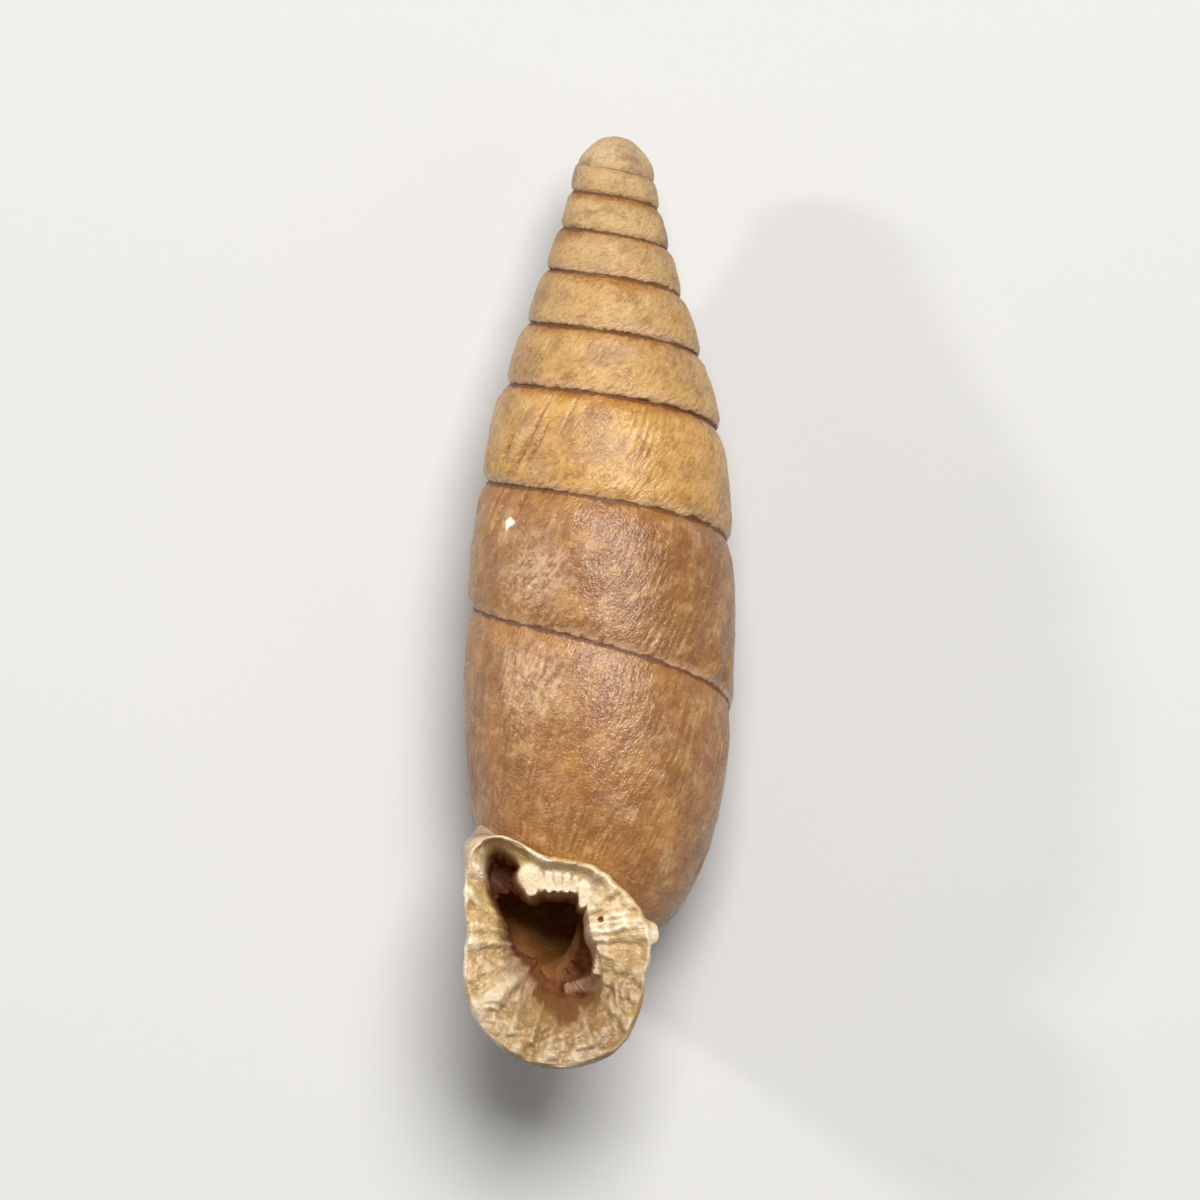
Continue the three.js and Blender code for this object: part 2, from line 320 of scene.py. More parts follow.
def neck_ring(at, angle, inset):
    """A ring round the neck's tube at one turn of growth."""
    sizes = [np.interp(at, NECK_TURNS, [s[k] for s in NECK_SIZES]) for k in range(4)]
    middle, low, half_width, half_height = sizes
    side, rise = squared(np.cos(angle)), squared(np.sin(angle))
    return place(at + 0 * angle, middle - side * (half_width - inset), low - rise * (half_height - inset))


angles = np.arange(AROUND + 1) * TURN / AROUND
lip = lip_radius(angles)
opening = round_table(OPENING_RADII, angles)


def arch(angle, low, high, soft):
    """1 between two angles in degrees about the mouth's middle, fading out over soft degrees beyond."""
    middle, half = (low + high) / 2, (high - low) / 2
    away = np.abs((np.degrees(angle) - middle + 180) % 360 - 180)
    return 1 - ease(half, half + soft, away)


# The outside of the neck: the ring where it bends forward beside the axis, and its waist.
WAIST_HEIGHT = 1.55
bend = neck_ring(NECK_TURNS[-1], angles, 0.0)
bend_right = (bend[:-1, 0] - AXIS_X) / MM - MOUTH[0]
bend_up = MOUTH[1] - (TIP_Y - bend[:-1, 1]) / MM


def bend_radius(angle):
    """How far the ring of the bend is from the mouth's middle, at an angle about it."""
    return np.interp(angle, np.arctan2(bend_up, bend_right), np.hypot(bend_right, bend_up), period=TURN)


def waist_radius(angle):
    return round_table(LIP_RADII, angle) * (0.84 + 0.26 * np.exp(-(((np.degrees(angle) - 132) / 20) ** 2)))


# Each tooth: base and tip from the mouth's middle in mm, half width at base and tip, height, and mark.
TEETH = [
    ((-0.42, 1.24), (0.66, 1.16), 0.33, 0.31, 2.12, 0.7),   # the wall that the pleats stand on
    ((-0.42, 1.3), (-0.35, 0.93), 0.24, 0.16, 2.2, 0.82),   # upper plate
    ((-0.2, 1.3), (-0.16, 0.98), 0.07, 0.07, 2.16, 0.85),
    ((0.0, 1.3), (0.02, 0.97), 0.08, 0.075, 2.16, 0.9),     # small pleats beside it
    ((0.2, 1.28), (0.2, 0.99), 0.08, 0.07, 2.15, 0.85),
    ((0.4, 1.26), (0.38, 0.98), 0.08, 0.07, 2.15, 0.9),
    ((0.58, 1.22), (0.55, 0.97), 0.07, 0.06, 2.13, 0.85),
    ((0.76, 1.05), (0.73, 0.68), 0.14, 0.1, 2.12, 0.85),    # small blunt tooth
    ((1.22, -0.05), (1.08, -0.75), 0.12, 0.1, 1.95, 0.8),   # fold down the pillar's side
    ((0.92, -0.94), (0.5, -1.02), 0.2, 0.15, 0.9, 0.25),   # end of an inner fold
]
# Strong pleats on the lower lip: outer and inner end, half width and height.
PLEATS = [
    ((-0.3, -2.45), (0.14, -0.75), 0.06, 0.22),
    ((1.06, -2.45), (0.74, -1.45), 0.055, 0.2),
    ((-0.74, -2.25), (-0.5, -1.3), 0.05, 0.12),
    ((-1.15, -1.95), (-0.85, -1.15), 0.05, 0.1),
    ((0.42, -2.55), (0.4, -1.75), 0.05, 0.1),
    ((0.1, -2.5), (0.2, -1.9), 0.05, 0.07),
    ((0.75, -2.5), (0.62, -1.9), 0.05, 0.08),
    ((1.65, -1.75), (1.15, -1.25), 0.06, 0.1),
    ((-1.5, -1.6), (-1.15, -1.2), 0.06, 0.07),
]
PIT = (1.14, 0.35, 0.065)          # a tiny hole beside the pillar: place and radius in mm
DENT = (0.5, -1.6, 0.26, 0.32)     # a stained dent below the inner fold: place and half sizes in mm
HOLE_DEPTH = 0.22                  # mm, of both
DEEPEST = 0.86                     # the depth mark past which only the pit goes


def capsule(px, py, start, end, wide, narrow):
    """How far points are from a tapering rod, in units of its half width there, and how far along it."""
    dx, dy = end[0] - start[0], end[1] - start[1]
    f = np.clip(((px - start[0]) * dx + (py - start[1]) * dy) / (dx * dx + dy * dy), 0, 1)
    return np.hypot(px - start[0] - f * dx, py - start[1] - f * dy) / (wide + (narrow - wide) * f), f


def face(distance, angle):
    """The mouth's surface at a distance from its middle: its height, pleat mark, and depth mark, which
    also carries the painted shade down the throat.
    """
    outer, inner, run = lip_radius(angle), round_table(OPENING_RADII, angle), round_table(SLOPES, angle)
    px, py = distance * np.cos(angle), distance * np.sin(angle)
    coarse = grain(53, 9 + px * 3.1, 9 + py * 3.1) - 0.5
    small = grain(54, 9 + px * 8, 9 + py * 8) - 0.5
    spread = 9 + 7.5 * np.stack([np.cos(angle), np.sin(angle)])
    fold = grain(56, spread[0] + 0.7 * distance, spread[1] - 0.6 * distance) - 0.5
    # the opening's edge is uneven, most of all on the left
    inner = inner + (0.16 * coarse + 0.1 * small) * (0.35 + 0.65 * arch(angle, 150, 235, 20))
    out = np.clip((outer - distance) / np.maximum(outer - inner, 0.05), 0, 1)
    upper = arch(angle, 50, 118, 22)
    dish = LIP_HEIGHT - 0.4 * out ** 1.5 - 0.05 * (1 - np.clip(out / 0.1, 0, 1)) ** 2
    dish = dish - 0.26 * upper * ease(0.16, 0.42, out)
    inward = np.clip((inner - distance) / run, 0, 1)
    # steep above and on the right, a long easy slope below and on the left
    easy = arch(angle, 205, 285, 30)
    drop = (1 - easy) * (1 - (1 - inward) ** 1.6) ** 1.25 + easy * inward ** 1.45
    ear = arch(angle, 118, 150, 14) * ease(1.0, 1.5, distance)
    wall_height = dish - (dish - THROAT_FLOOR - 0.3 * ear) * drop
    # the wall keeps its thickness above the outside of the neck
    low, high = bend_radius(angle), waist_radius(angle)
    outside = WAIST_HEIGHT * (distance - low + 0.22) / np.maximum(high - low, 0.2)
    kept_height = np.maximum(wall_height, np.minimum(outside, dish - 0.1))
    wall_height = np.where(high - low > 0.2, kept_height, wall_height)
    # pleats fan out round the lip, strongest below and on the pillar's side
    phase = angle / TURN * 32 + 3.4 * grain(51, 9 + px * 1.6, 9 + py * 1.6)
    wave = (0.5 + 0.5 * np.cos(phase * TURN)) ** 1.2
    strong = 0.3 + 0.5 * arch(angle, 225, 310, 25) + 0.15 * arch(angle, 335, 390, 20)
    patchy = 0.1 + 1.4 * grain(52, 9 + px * 2.6, 9 + py * 2.6)
    strength = ease(0.08, 0.4, out) * (1 - ease(0.05, 0.5, inward)) * patchy * strong
    strength = strength * (1 - 0.8 * upper)
    tiny = grain(55, 9 + px * 17, 9 + py * 17) - 0.5
    rough = (0.12 * coarse + 0.08 * small + 0.03 * tiny) * (1 - 0.6 * inward)
    rough = (rough + 0.34 * fold * (1 - 0.7 * upper)) * ease(-0.08, 0.2, out)
    height = wall_height + 0.06 * (wave - 0.5) * strength + rough
    # The crest: a pale edge all round, and a painted highlight along the upper side.
    crest = (1 - ease(0.06, 0.2, out)) * (0.1 + 0.9 * arch(angle, 40, 150, 25))
    mark = 0.5 + 0.5 * (wave - 0.5) * np.clip(strength * 1.2, 0, 1)
    mark = mark + 0.6 * coarse + 0.5 * small + 1.3 * fold
    mark = mark - 0.5 * arch(angle, 268, 292, 10) * ease(0.1, 0.5, inward)
    # Painted shade on the band below the upper crest.
    mark = mark - 0.3 * upper * ease(0.2, 0.4, out)
    mark = mark + (1 - mark) * crest
    dent = np.exp(-((px - DENT[0]) / DENT[2]) ** 2 - ((py - DENT[1]) / DENT[3]) ** 2)
    height = height - HOLE_DEPTH * dent
    mark = mark * (1 - 0.9 * dent) - 0.4 * arch(angle, 264, 300, 14) * ease(0.2, 0.7, out)
    for start, end, half, tall in PLEATS:
        away, f = capsule(px, py, start, end, half * 1.5, half)
        ridge = np.exp(-(away ** 2)) * ease(0, 0.12, f + 0.02) * (1 - 0.75 * f)
        height = height + tall * ridge
        mark = mark + (1 - mark) * ridge
    # The depth mark: painted shade that deepens below the lip's face and down the steep walls; the dent
    # adds its stain, and the pit goes deepest.
    depth_shade_and_stain = ease(0, 1.7, LIP_HEIGHT - 0.35 - height)
    depth_shade_and_stain = np.maximum(depth_shade_and_stain, ease(0.3, 0.8, inward) * (1 - easy)) * 0.9
    depth_shade_and_stain = np.minimum(depth_shade_and_stain + 0.13 * easy * ease(0, 0.35, inward), DEEPEST)
    depth_shade_and_stain = np.maximum(depth_shade_and_stain, 0.72 * dent)
    # Each tooth stands up out of the painted shade by its mark.
    for start, end, wide, narrow, tall, shade in TEETH:
        away, f = capsule(px, py, start, end, wide, narrow)
        body = 1 - ease(0.7, 1.3, away)
        height = height + np.maximum(tall - 0.1 * f - height, 0) * body
        mark = mark + (shade - mark) * body
        depth_shade_and_stain = depth_shade_and_stain * (1 - shade * body)
    pit = 1 - ease(0.5, 1.2, np.hypot(px - PIT[0], py - PIT[1]) / PIT[2])
    height = height - HOLE_DEPTH * pit
    return height, np.clip(mark, 0, 1), np.maximum(depth_shade_and_stain, pit)


# The neck, from a point inside the last whorl to the bend beside the mouth.
NECK_ROOT = 8.6            # the turn at which it leaves the whorl
NECK_RIBS = 62             # in a turn
WRINKLE_SEED = 31
rings, kinds, marks = [], [], []


def add_ring(points, kind, mark):
    rings.append(points)
    kinds.append(kind + 0 * angles)
    marks.append(mark + 0 * angles)


def wrinkles_at(along):
    return rib_wave(along + 0 * angles, 3 * np.abs(np.sin(angles / 2)), WRINKLE_SEED)


add_ring(np.repeat(neck_ring(NECK_ROOT, angles, 0).mean(axis=0)[None], AROUND + 1, axis=0), 0, 0)
for at in np.linspace(NECK_ROOT + 0.01, NECK_TURNS[-1], 40):
    wrinkle = wrinkles_at((at - 8) * NECK_RIBS)
    add_ring(neck_ring(at, angles, 0.02 - 0.03 * wrinkle), 0, wrinkle)

# From the bend it runs straight forward, with a shoulder up to the seam, and flares behind the lip.
waist = mouth_points(angles, waist_radius(angles), WAIST_HEIGHT)
outwards = waist - waist.mean(axis=0)
outwards[:, 2] = 0
for share in np.linspace(0, 1, 15)[1:]:
    wrinkle = wrinkles_at(NECK_RIBS + share * 9)
    ring = bend + (waist - bend) * ease(0, 1, share) + 0.018 * wrinkle[:, None] * outwards
    add_ring(ring, 0.1 * share, wrinkle)
lump = grain(41, 20 + 5 * np.cos(angles), 20 + 5 * np.sin(angles)) - 0.5
edge = LIP_HEIGHT - 0.16 + 0.06 * lump
CRUMB = 0.42               # mm that a crumb of lime stuck to the lip's right side stands out
for out, height in [(0.15, 1.75), (0.35, 1.93), (0.6, 2.08), (0.82, 2.18), (0.95, 2.25)]:
    reach = waist_radius(angles) * (1 - out) + lip * out
    reach = reach + CRUMB * arch(angles, 1, 5, 11) * (1 - abs(out - 0.5) * 2)
    add_ring(mouth_points(angles, reach, height), 0.15 + 0.85 * out, 0.5 + lump)
for inset, rise, mark in [(0, 0, 0.5), (0.015, 0.07, 0.6), (0.05, 0.125, 0.7)]:
    add_ring(mouth_points(angles, lip - inset, edge + rise), 1, mark + 1.2 * lump)

# The face of the lip and the walls of the throat.
FACE_RINGS = 66
RIM_SHARE = 0.55               # the rings outside the opening's edge
for k in range(1, FACE_RINGS):
    share = k / FACE_RINGS
    brink = opening + 0.04
    if share < RIM_SHARE:
        distance = lip - 0.07 + (brink - lip + 0.07) * share / RIM_SHARE
    else:
        distance = brink * (1 - (share - RIM_SHARE) / (1 - RIM_SHARE))
    height, mark, depth_shade_and_stain = face(distance, angles)
    add_ring(mouth_points(angles, distance, height), 1 + depth_shade_and_stain, mark)
add_ring(mouth_points(angles, 0 * angles, THROAT_FLOOR + 0 * angles), 2, 0.5)


def ring_maps(ring_count, column_angles, mark, kind):
    """The maps of a tube whose rings run round the mouth or the neck."""
    number = np.arange(ring_count) / ring_count
    growth = np.stack(np.broadcast_arrays(9.05 + column_angles[:, None] / TURN, number), axis=-1)
    return {"growth": growth, "marks": np.stack(np.broadcast_arrays(mark, kind), axis=-1),
            "edges": np.full(growth.shape, 9.0)}


points = np.stack(rings, axis=1)
points[-1] = points[0]
maps = ring_maps(points.shape[1], angles, np.stack(marks, axis=1), np.stack(kinds, axis=1))
neck = sheet_from_grid("neck_and_lip", points, maps)


def combine(target, tool, operation):
    """Joins a closed mesh to the shell, or cuts it away."""
    modifier = target.modifiers.new("combine", "BOOLEAN")
    modifier.operation = operation
    modifier.solver = "MANIFOLD"
    modifier.object = tool
    bpy.ops.object.select_all(action="DESELECT")
    bpy.context.view_layer.objects.active = target
    target.select_set(True)
    bpy.ops.object.modifier_apply(modifier=modifier.name)
    bpy.data.objects.remove(tool)


# The mouth stays clear of the last whorl's wall, down to a little below its own surface.
few = angles[::4]
clear = [mouth_points(few, 0 * few, THROAT_FLOOR - 0.08 + 0 * few)]
for share in np.linspace(0.04, 0.97, 24):
    distance = lip_radius(few) * share
    clear.append(mouth_points(few, distance, face(distance, few)[0] - 0.1))
for share, height in ((0.97, 4), (0, 4)):
    clear.append(mouth_points(few, lip_radius(few) * share, height + 0 * few))
points = np.stack(clear, axis=1)
points[-1] = points[0]
maps = ring_maps(points.shape[1], few, 0.5, np.full(points.shape[:2], 2.0))
space = sheet_from_grid("mouth_space", points, maps)
combine(shell, space, "DIFFERENCE")
combine(shell, neck, "UNION")

# ---------------------------------------------------------------------------------------------
# The hollow. The snail lived in it: a smooth tube from the last whorls down through the neck to the
# throat. It is cut out of the joined wall, neck and lip.

WALL = 0.18                # mm
BACK_WALL = 0.13           # mm, where the back is worn flat
HOLLOW_START = 7.0         # turn
HOLLOW_STEP = 0.025        # turns
HOLLOW_AROUND = 72
hollow_angles = np.arange(HOLLOW_AROUND + 1) * TURN / HOLLOW_AROUND
hollow_rings = []
for at in np.arange(HOLLOW_START, NECK_TURNS[0], HOLLOW_STEP):
    here = np.array([at])
    roof, sole = seam_depth(here)[0], seam_depth(here + 1)[0]
    level = (roof + sole) / 2
    reach = girth(np.array([level]))[0]
    side, rise = squared(np.cos(hollow_angles)), squared(np.sin(hollow_angles))
    hollow_rings.append(place(at + 0 * hollow_angles, reach * 0.56 - side * (reach * 0.44 - WALL),
                              level - rise * ((sole - roof) / 2 - WALL)))
for at in np.arange(NECK_TURNS[0], NECK_TURNS[-1] + 0.001, HOLLOW_STEP):
    hollow_rings.append(neck_ring(at, hollow_angles, WALL))
# Until the neck stands clear of the last whorl, the hollow keeps inside that whorl's wall.
for ring, at in zip(hollow_rings, np.arange(HOLLOW_START, NECK_TURNS[-1] + 0.001, HOLLOW_STEP)):
    from_axis = ring - np.array([AXIS_X, 0, AXIS_Z])
    reach = np.hypot(from_axis[:, 0], from_axis[:, 2]) / MM
    limit = girth((TIP_Y - ring[:, 1]) / MM) - 0.22 + 2 * ease(8.63, 8.8, at)
    shrink = np.minimum(1, np.maximum(limit, 0.1) / reach)
    ring[:, 0] = AXIS_X + from_axis[:, 0] * shrink
    ring[:, 2] = AXIS_Z + from_axis[:, 2] * shrink
last = hollow_rings[-1]
throat_radius = round_table(OPENING_RADII, hollow_angles) - 0.97 * round_table(SLOPES, hollow_angles)
throat_radius = np.minimum(throat_radius, bend_radius(hollow_angles) + 0.06)
throat = mouth_points(hollow_angles, throat_radius, THROAT_FLOOR + 0.3)
for share in np.linspace(0, 1, 6)[1:]:
    hollow_rings.append(last + (throat - last) * share)
for end, ring in ((0, hollow_rings[0]), (-1, hollow_rings[-1])):
    pole = np.repeat(ring[:-1].mean(axis=0)[None], HOLLOW_AROUND + 1, axis=0)
    hollow_rings.insert(0 if end == 0 else len(hollow_rings), pole)
points = np.stack(hollow_rings, axis=1)
points[-1] = points[0]
points[..., 2] = np.maximum(points[..., 2], shell_low[2] + BACK_WALL * MM)
# It is brown inside, with painted shade darkest where it comes up to the throat.
THROAT_RINGS = 14
hollow_kinds = np.full(points.shape[:2], 2.0)
hollow_kinds[:, -THROAT_RINGS:] = np.linspace(1.99, 1.86, THROAT_RINGS)
hollow = sheet_from_grid("hollow", points, ring_maps(points.shape[1], hollow_angles, 0.5, hollow_kinds))
combine(shell, hollow, "DIFFERENCE")

# The backs of the widest whorls are worn flat where the shell lies.
WORN_EDGE = 0.02 * MM      # how far above the ground the wearing starts
mesh = shell.data
flat = np.empty(len(mesh.vertices) * 3)
mesh.vertices.foreach_get("co", flat)
flat = flat.reshape(-1, 3)
ground = shell_low[2]
below = ground + WORN_EDGE - flat[:, 2]
flat[:, 2] = np.where(below > 0, ground + WORN_EDGE * np.exp(-below / WORN_EDGE), flat[:, 2])
mesh.vertices.foreach_set("co", flat.ravel())
mesh.update()

bpy.ops.object.select_all(action="DESELECT")
shell.select_set(True)
bpy.context.view_layer.objects.active = shell
SHARP_EDGE = math.radians(50)
bpy.ops.object.shade_smooth_by_angle(angle=SHARP_EDGE)

# ---------------------------------------------------------------------------------------------
# The finish. A thin brown horny skin over the lime: pale and worn at the tip, honey in the middle, rosy
# brown below, stained orange along the seams; the lip is bare ivory enamel with stains in its pleats.

class Value:
    """A socket that takes part in sums."""

    def __init__(self, tree, socket):
        self.tree = tree
        self.socket = socket

    def math(self, operation, *others):
        return self.tree.node("ShaderNodeMath", {"operation": operation}, [self, *others])

    def __add__(self, other):
        return self.math("ADD", other)

    __radd__ = __add__

    def __mul__(self, other):
        return self.math("MULTIPLY", other)

    __rmul__ = __mul__

    def __sub__(self, other):
        return self.math("SUBTRACT", other)

    def __rsub__(self, other):
        return self.tree.node("ShaderNodeMath", {"operation": "SUBTRACT"}, [other, self])

    def __truediv__(self, other):
        return self.math("DIVIDE", other)

    def __pow__(self, other):
        return self.math("POWER", other)

    def step(self, low, high):
        """From 0 at low to 1 at high, smoothly."""
        settings = {"interpolation_type": "SMOOTHSTEP", "clamp": True}
        limits = {"Value": self, "From Min": low, "From Max": high}
        return self.tree.node("ShaderNodeMapRange", settings, limits)


class Tree:
    """The node tree of one material."""

    def __init__(self, material):
        self.tree = material.node_tree

    def node(self, kind, settings=None, inputs=(), output=0):
        """Makes a node from its type, its settings, and the values or links of its sockets."""
        made = self.tree.nodes.new(kind)
        for key, value in (settings or {}).items():
            if key == "stops":
                self.set_stops(made.color_ramp.elements, value)
            else:
                setattr(made, key, value)
        pairs = inputs.items() if isinstance(inputs, dict) else enumerate(inputs)
        for key, value in pairs:
            socket = made.inputs[key]
            if isinstance(value, Value):
                self.tree.links.new(value.socket, socket)
            elif socket.type == "RGBA":
                socket.default_value = (*value, 1)
            else:
                socket.default_value = value
        return Value(self, made.outputs[output]) if made.outputs else None

    def set_stops(self, elements, stops):
        """Sets the places and colours of a ramp."""
        elements[0].position, elements[0].color = stops[0][0], (*stops[0][1], 1)
        elements[1].position, elements[1].color = stops[-1][0], (*stops[-1][1], 1)
        for at, colour in stops[1:-1]:
            elements.new(at).color = (*colour, 1)

    def ramp(self, factor, stops):
        return self.node("ShaderNodeValToRGB", {"stops": stops}, [factor])

    def noise(self, vector, scale, detail=2, roughness=0.5):
        return self.node("ShaderNodeTexNoise", {}, {"Vector": vector, "Scale": scale, "Detail": detail,
                                                   "Roughness": roughness})

    def grown_noise(self, along, down, detail, roughness):
        """Noise over the sheet as it grew, not over the space it fills."""
        sheet = self.node("ShaderNodeCombineXYZ", {}, [along, down, 0.0])
        return self.noise(sheet, 1.0, detail, roughness)

    def mix(self, factor, first, second, blend="MIX"):
        """Mixes two colours: the node's sockets 6 and 7, with the result at its third output."""
        settings = {"data_type": "RGBA", "blend_type": blend}
        return self.node("ShaderNodeMix", settings, {0: factor, 6: first, 7: second}, 2)


finish = bpy.data.materials.new("grown_shell")
finish.use_nodes = True
finish.node_tree.nodes.clear()
t = Tree(finish)


def mapped(name, part):
    """One number of a UV map: 0 for its first, 1 for its second."""
    return t.node("ShaderNodeSeparateXYZ", {}, [t.node("ShaderNodeUVMap", {"uv_map": name})], part)


laid_at, over = mapped("growth", 0), mapped("growth", 1)
rib, kind = mapped("marks", 0), mapped("marks", 1)
below_seam, above_seam = mapped("edges", 0), mapped("edges", 1)
place_of = t.node("ShaderNodeTexCoord", {}, (), 3)

# Patterns: long streaks along the ribs, finer ones, clouds of a millimetre, wrinkles, spots and pits.
wobble = t.noise(place_of, 900, 2, 0.5) - 0.5
streaks = t.grown_noise(laid_at * 30 + wobble * 2, over * 4.5, 4, 0.6)
leaning = laid_at + over * 0.035
fine_ribs = t.grown_noise(leaning * 130 + wobble * 2, over * 8, 3, 0.65)
clouds = t.noise(place_of, 700, 4, 0.6)
patches = t.noise(place_of, 2200, 4, 0.62)
wrinkles = t.grown_noise(leaning * 75 + wobble * 1.5, over * 14, 4, 0.65)
spots = t.noise(place_of, 7500, 3, 0.6)
pits = t.noise(place_of, 17000, 2, 0.5)

# The skin's colour by turn, with darker grooves, pale worn ribs and blotches.
TURNS_IN_RAMP = 11
skin = t.ramp(laid_at / TURNS_IN_RAMP, [
    (0.0, (0.50, 0.36, 0.20)), (0.15, (0.49, 0.335, 0.155)), (0.33, (0.46, 0.29, 0.115)),
    (0.45, (0.45, 0.26, 0.08)), (0.56, (0.50, 0.28, 0.07)), (0.62, (0.44, 0.235, 0.07)),
    (0.66, (0.26, 0.115, 0.036)), (0.8, (0.30, 0.135, 0.044)), (0.86, (0.32, 0.137, 0.044)),
    (1.0, (0.35, 0.165, 0.065))])
# For each pattern its pale and its dark parts: the values between which they set in, how strong they
# are, and their colour.
for pattern, pale, deep in [
        (streaks, (0.45, 0.7, 0.35, (0.60, 0.37, 0.15)), (0.3, 0.5, 0.45, (0.22, 0.09, 0.025))),
        (fine_ribs, (0.5, 0.66, 0.22, (0.60, 0.38, 0.18)), (0.34, 0.5, 0.35, (0.16, 0.06, 0.018))),
        (clouds, (0.5, 0.7, 0.45, (0.46, 0.22, 0.055)), (0.34, 0.48, 0.5, (0.23, 0.105, 0.06))),
        (patches, (0.54, 0.66, 0.4, (0.60, 0.39, 0.20)), (0.36, 0.47, 0.45, (0.21, 0.09, 0.028))),
        (wrinkles, (0.54, 0.7, 0.25, (0.60, 0.39, 0.19)), (0.34, 0.46, 0.3, (0.17, 0.065, 0.02)))]:
    low, high, strength, shade = pale
    skin = t.mix(pattern.step(low, high) * strength, skin, shade)
    low, high, strength, shade = deep
    skin = t.mix((1 - pattern.step(low, high)) * strength, skin, shade)
WORN_RIB = (0.66, 0.45, 0.25)
skin = t.mix(rib.step(0.2, 1.0) * spots.step(0.35, 0.65) * 0.3, skin, WORN_RIB)
tint = t.ramp(laid_at / TURNS_IN_RAMP, [
    (0.0, (1.0, 1.0, 0.97)), (0.3, (0.96, 0.95, 0.88)), (0.45, (0.92, 0.91, 0.84)),
    (0.6, (0.97, 0.94, 0.83)), (0.66, (0.86, 0.79, 0.66)), (0.74, (0.88, 0.82, 0.70)),
    (0.78, (0.98, 0.93, 0.84)), (1.0, (1.0, 0.98, 0.98))])
skin = t.mix(1.0, skin, tint, "MULTIPLY")
# Two painted highlights, one on each of the last whorls, pale between the spots and fine ribs.
HIGHLIGHT_PAINT = (0.66, 0.46, 0.28)
painted_highlight = 1 - (((laid_at - 8.18) * 17) ** 2 + ((over - 0.27) * 4) ** 2).step(0.0, 1.0)
painted_highlight = painted_highlight + 1 - (((laid_at - 7.2) * 17) ** 2 + ((over - 0.62) * 3.6) ** 2).step(0.0, 1.0)
skin = t.mix(painted_highlight * (spots * 0.5 + fine_ribs * 0.5).step(0.4, 0.62) * 0.5, skin, HIGHLIGHT_PAINT)
# The chip's bare lime, the dirt in the cracks, and the duller skin of the neck.
BARE_LIME = (0.80, 0.70, 0.55)
CRACK_DIRT = (0.14, 0.055, 0.015)
skin = t.mix(rib.step(1.1, 1.4), skin, BARE_LIME)
skin = t.mix((0 - rib).step(0.1, 0.9) * spots.step(0.3, 0.6) * 0.6, skin, CRACK_DIRT)
neck_skin = t.mix(patches.step(0.4, 0.65), (0.40, 0.29, 0.21), (0.30, 0.19, 0.12))
skin = t.mix(laid_at.step(9.0, 9.04), skin, neck_skin)

# Along the seams: a dark line, orange-brown stain and dark crusts below it, and a pale beaded edge
# above. The stain also runs round the lip.
SEAM_STAIN = (0.33, 0.13, 0.018)
SEAM_CRUST = (0.15, 0.055, 0.012)
SEAM_EDGE = (0.60, 0.39, 0.25)
SEAM_LINE = (0.11, 0.038, 0.01)
LIP_STAIN = (0.32, 0.135, 0.03)
wander = (patches - 0.5) * 0.3 + (wrinkles - 0.5) * 0.2
width = laid_at.step(0.5, 4.0) * 0.4 + 0.6
under = below_seam / width + wander
stain = (1 - under.step(0.08, 0.4)) * laid_at.step(0.8, 2.2) * (1 - laid_at.step(6.2, 7.0) * 0.55)
skin = t.mix(stain * (0.25 + clouds.step(0.38, 0.6) * 0.7), skin, SEAM_STAIN)
crust = (1 - (under + (spots - 0.5) * 0.5).step(0.04, 0.26)) * (patches + clouds).step(0.92, 1.08)
crust = crust * laid_at.step(0.9, 1.6) * (1 - laid_at.step(5.5, 7.0) * 0.6)
skin = t.mix(crust * 0.75, skin, SEAM_CRUST)
pale_edge = (1 - (above_seam + wander * 0.6).step(0.08, 0.24)) * laid_at.step(2.0, 4.0)
skin = t.mix(pale_edge * wrinkles.step(0.36, 0.6) * 0.55, skin, SEAM_EDGE)
line = 1 - (below_seam / width + wander * 0.6).step(0.03, 0.11)
line = line + (1 - (above_seam / width + wander * 0.6).step(0.0, 0.06))
line = line.step(0.1, 0.9) * laid_at.step(0.8, 1.8) * (streaks + spots).step(0.5, 0.95)
skin = t.mix(line * 0.9, skin, SEAM_LINE)
round_lip = (0 - kind + wander * 1.2).step(0.3, 0.9)
skin = t.mix(round_lip * 0.85, skin, LIP_STAIN)

# The lip: ivory, stained yellow-brown in the pleats, paler at the edge, duller below, and brown down the
# throat, darkened further there by painted shade that deepens with depth.
BELOW = 9.83               # the middle of the lower lip in the growth map
enamel = t.mix(patches.step(0.4, 0.65), (0.66, 0.52, 0.31), (0.62, 0.46, 0.33))
stains = (1 - rib.step(0.25, 0.75)) * (patches + spots).step(0.75, 1.05)
enamel = t.mix(stains * 0.85, enamel, (0.34, 0.19, 0.05))
enamel = t.mix(clouds.step(0.46, 0.62) * (1 - rib.step(0.6, 0.95)) * 0.5, enamel, (0.52, 0.34, 0.13))
enamel = t.mix((1 - wrinkles.step(0.34, 0.48)) * 0.35, enamel, (0.36, 0.22, 0.10))
enamel = t.mix(rib.step(0.66, 0.98) * 0.75, enamel, (0.80, 0.68, 0.48))
lower = 1 - t.node("ShaderNodeMath", {"operation": "ABSOLUTE"}, [laid_at - BELOW]).step(0.05, 0.28)
enamel = t.mix(lower * kind.step(0.3, 0.9) * 0.85, enamel, (0.50, 0.43, 0.35), "MULTIPLY")
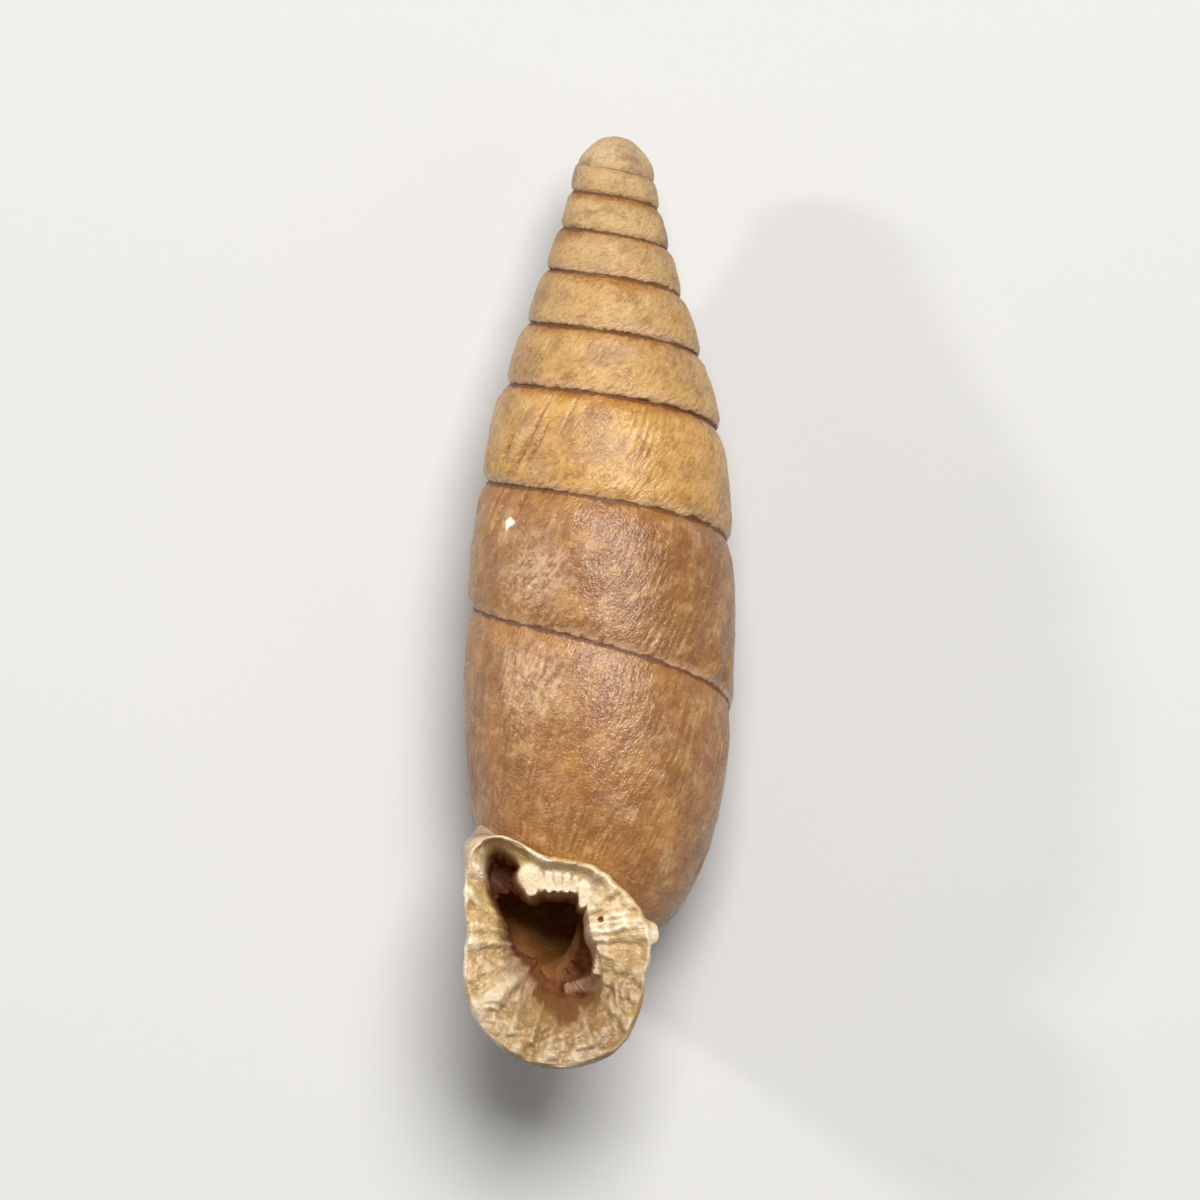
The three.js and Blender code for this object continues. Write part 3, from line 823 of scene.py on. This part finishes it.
# Down the throat the ivory turns tan, then to a painted shade of dark brown, and amber in the hollow
# beyond.
depth_shade_and_stain = kind - 1
tan = t.mix(patches.step(0.4, 0.6), (0.40, 0.22, 0.10), (0.50, 0.32, 0.19))
tan = t.mix(1 - rib.step(0.05, 0.4), tan, (0.16, 0.065, 0.018))
enamel = t.mix(depth_shade_and_stain.step(0.06, 0.4) * 0.85, enamel, tan)
dark = t.mix(patches.step(0.4, 0.6), (0.12, 0.036, 0.006), (0.20, 0.068, 0.018))
enamel = t.mix(depth_shade_and_stain.step(0.45, 0.85), enamel, dark)
amber = t.mix(patches.step(0.4, 0.6), (0.50, 0.19, 0.03), (0.60, 0.28, 0.08))
enamel = t.mix(depth_shade_and_stain.step(0.86, 1.02), enamel, amber)

colour = t.mix(kind.step(0.3, 0.9), skin, enamel)
gloss = 0.15 + 0.27 * patches + (1 - laid_at.step(2.0, 6.0)) * 0.2 + kind.step(0.3, 0.9) * 0.06
gloss = gloss + line * 0.3 + depth_shade_and_stain.step(0.2, 0.9) * 0.3
RELIEF = 0.048 * MM
relief_map = fine_ribs * 0.9 + wrinkles * 0.7 + spots * 0.5 + pits * 0.35
bump = t.node("ShaderNodeBump", {}, {"Strength": 0.9, "Distance": RELIEF, "Height": relief_map})
surface = t.node("ShaderNodeBsdfPrincipled", {}, {
    "Base Color": colour, "Roughness": gloss, "Normal": bump, "IOR": 1.5,
    "Subsurface Weight": 0.06, "Subsurface Scale": 0.0003, "Subsurface Radius": (1.0, 0.5, 0.25)})
t.node("ShaderNodeOutputMaterial", {}, [surface])
shell.data.materials.clear()
shell.data.materials.append(finish)

shell.name = shell.data.name = "shell_grown"
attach(shell, "root")
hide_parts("shell")

# ---------------------------------------------------------------------------------------------
# The floor: a plain pale studio table that the shell lies on.
bpy.ops.object.select_all(action="DESELECT")
bpy.ops.mesh.primitive_plane_add(size=3, location=(0, 0, shell_low[2]))
floor = bpy.context.object
floor.name = "floor"
floor_paint = bpy.data.materials.new("pale_table")
floor_paint.use_nodes = True
paint = floor_paint.node_tree.nodes["Principled BSDF"].inputs
paint["Base Color"].default_value = (0.5, 0.49, 0.475, 1)
paint["Roughness"].default_value = 0.9
floor.data.materials.append(floor_paint)

# ---------------------------------------------------------------------------------------------
# The camera looks down on the shell, five degrees from the mouth's end, turned so the tip leans right.
# Three soft lamps and a dim white room light it.
FIELD = 25.83 * MM
LEAN = math.radians(5)
ROLL = math.radians(1.67)
DISTANCE = 0.4
SENSOR = 36                # mm across
AIM = (-0.03, 10.05)       # mm to the right of the axis, and below the tip
camera_data = bpy.data.cameras.new("camera")
camera = bpy.data.objects.new("camera", camera_data)
bpy.context.collection.objects.link(camera)
camera_data.sensor_width = SENSOR
camera_data.lens = SENSOR * DISTANCE / FIELD
camera_data.clip_start = 0.005
camera_data.clip_end = 5
camera.rotation_euler = (LEAN, 0, ROLL)
aim = Vector((AXIS_X + AIM[0] * MM, TIP_Y - AIM[1] * MM, AXIS_Z))
camera.location = aim + camera.rotation_euler.to_matrix() @ Vector((0, 0, DISTANCE))
bpy.context.scene.camera = camera


def soft_light(name, location, size, power):
    """A large square lamp that points at the shell."""
    lamp = bpy.data.lights.new(name, "AREA")
    lamp.shape = "SQUARE"
    lamp.size = size
    lamp.energy = power
    holder = bpy.data.objects.new(name, lamp)
    bpy.context.collection.objects.link(holder)
    holder.location = location
    holder.rotation_euler = (aim - holder.location).to_track_quat("-Z", "Y").to_euler()


soft_light("key_light", (0.035, 0.11, 0.275), 0.16, 1.42)
soft_light("side_light", (-0.25, 0.06, 0.14), 0.025, 0.33)
soft_light("fill_light", (0.24, -0.08, 0.20), 0.2, 0.05)
world = bpy.data.worlds.new("studio")
world.use_nodes = True
world.node_tree.nodes["Background"].inputs["Color"].default_value = (1, 1, 1, 1)
world.node_tree.nodes["Background"].inputs["Strength"].default_value = 0.11
bpy.context.scene.world = world
bpy.context.scene.view_settings.view_transform = "Standard"
